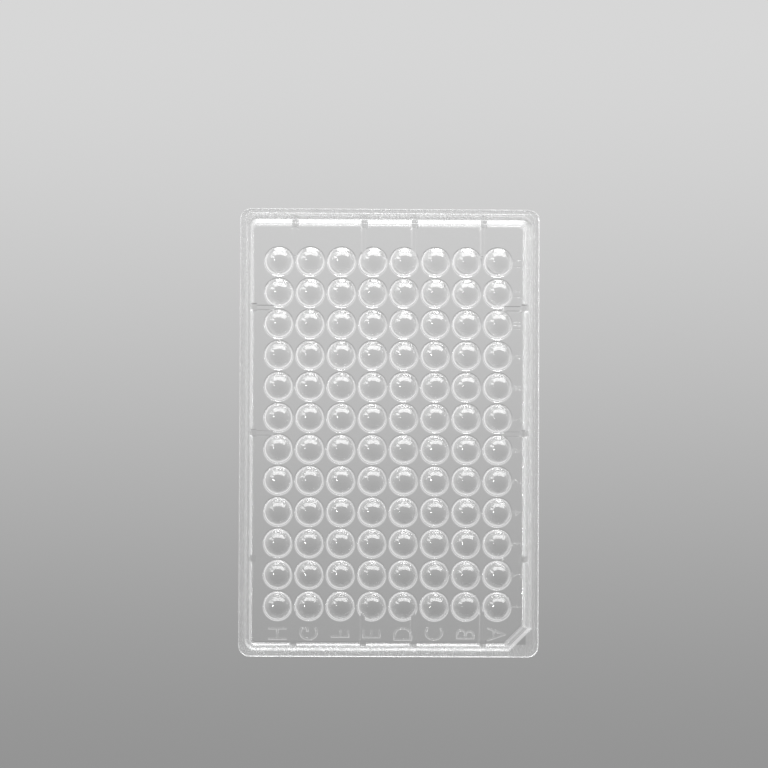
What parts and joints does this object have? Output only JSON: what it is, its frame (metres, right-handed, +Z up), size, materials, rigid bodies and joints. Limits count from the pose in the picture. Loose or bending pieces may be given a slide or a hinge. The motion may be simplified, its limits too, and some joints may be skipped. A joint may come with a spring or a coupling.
{
  "type": "microplate",
  "caption": "Clear moulded microplate: a grid of round-bottom wells in a sunk deck, with a drafted skirt wall, underside ribs, a gripping flange and one cut corner beside the first well.",
  "frame": {"origin": "centre of the footprint, on the surface the plate stands on", "axes": "+Z up, out of the wells; +X along the long side from the first column to the last; +Y along the short side towards the first row, so the first well and the cut corner are at -X, +Y"},
  "size_m": [0.1278, 0.0854, 0.0143],
  "materials": {
    "clear_polystyrene": "clear, glossy"
  },
  "bodies": {
    "root": {"well_plate": "clear_polystyrene"}
  },
  "joints": []
}
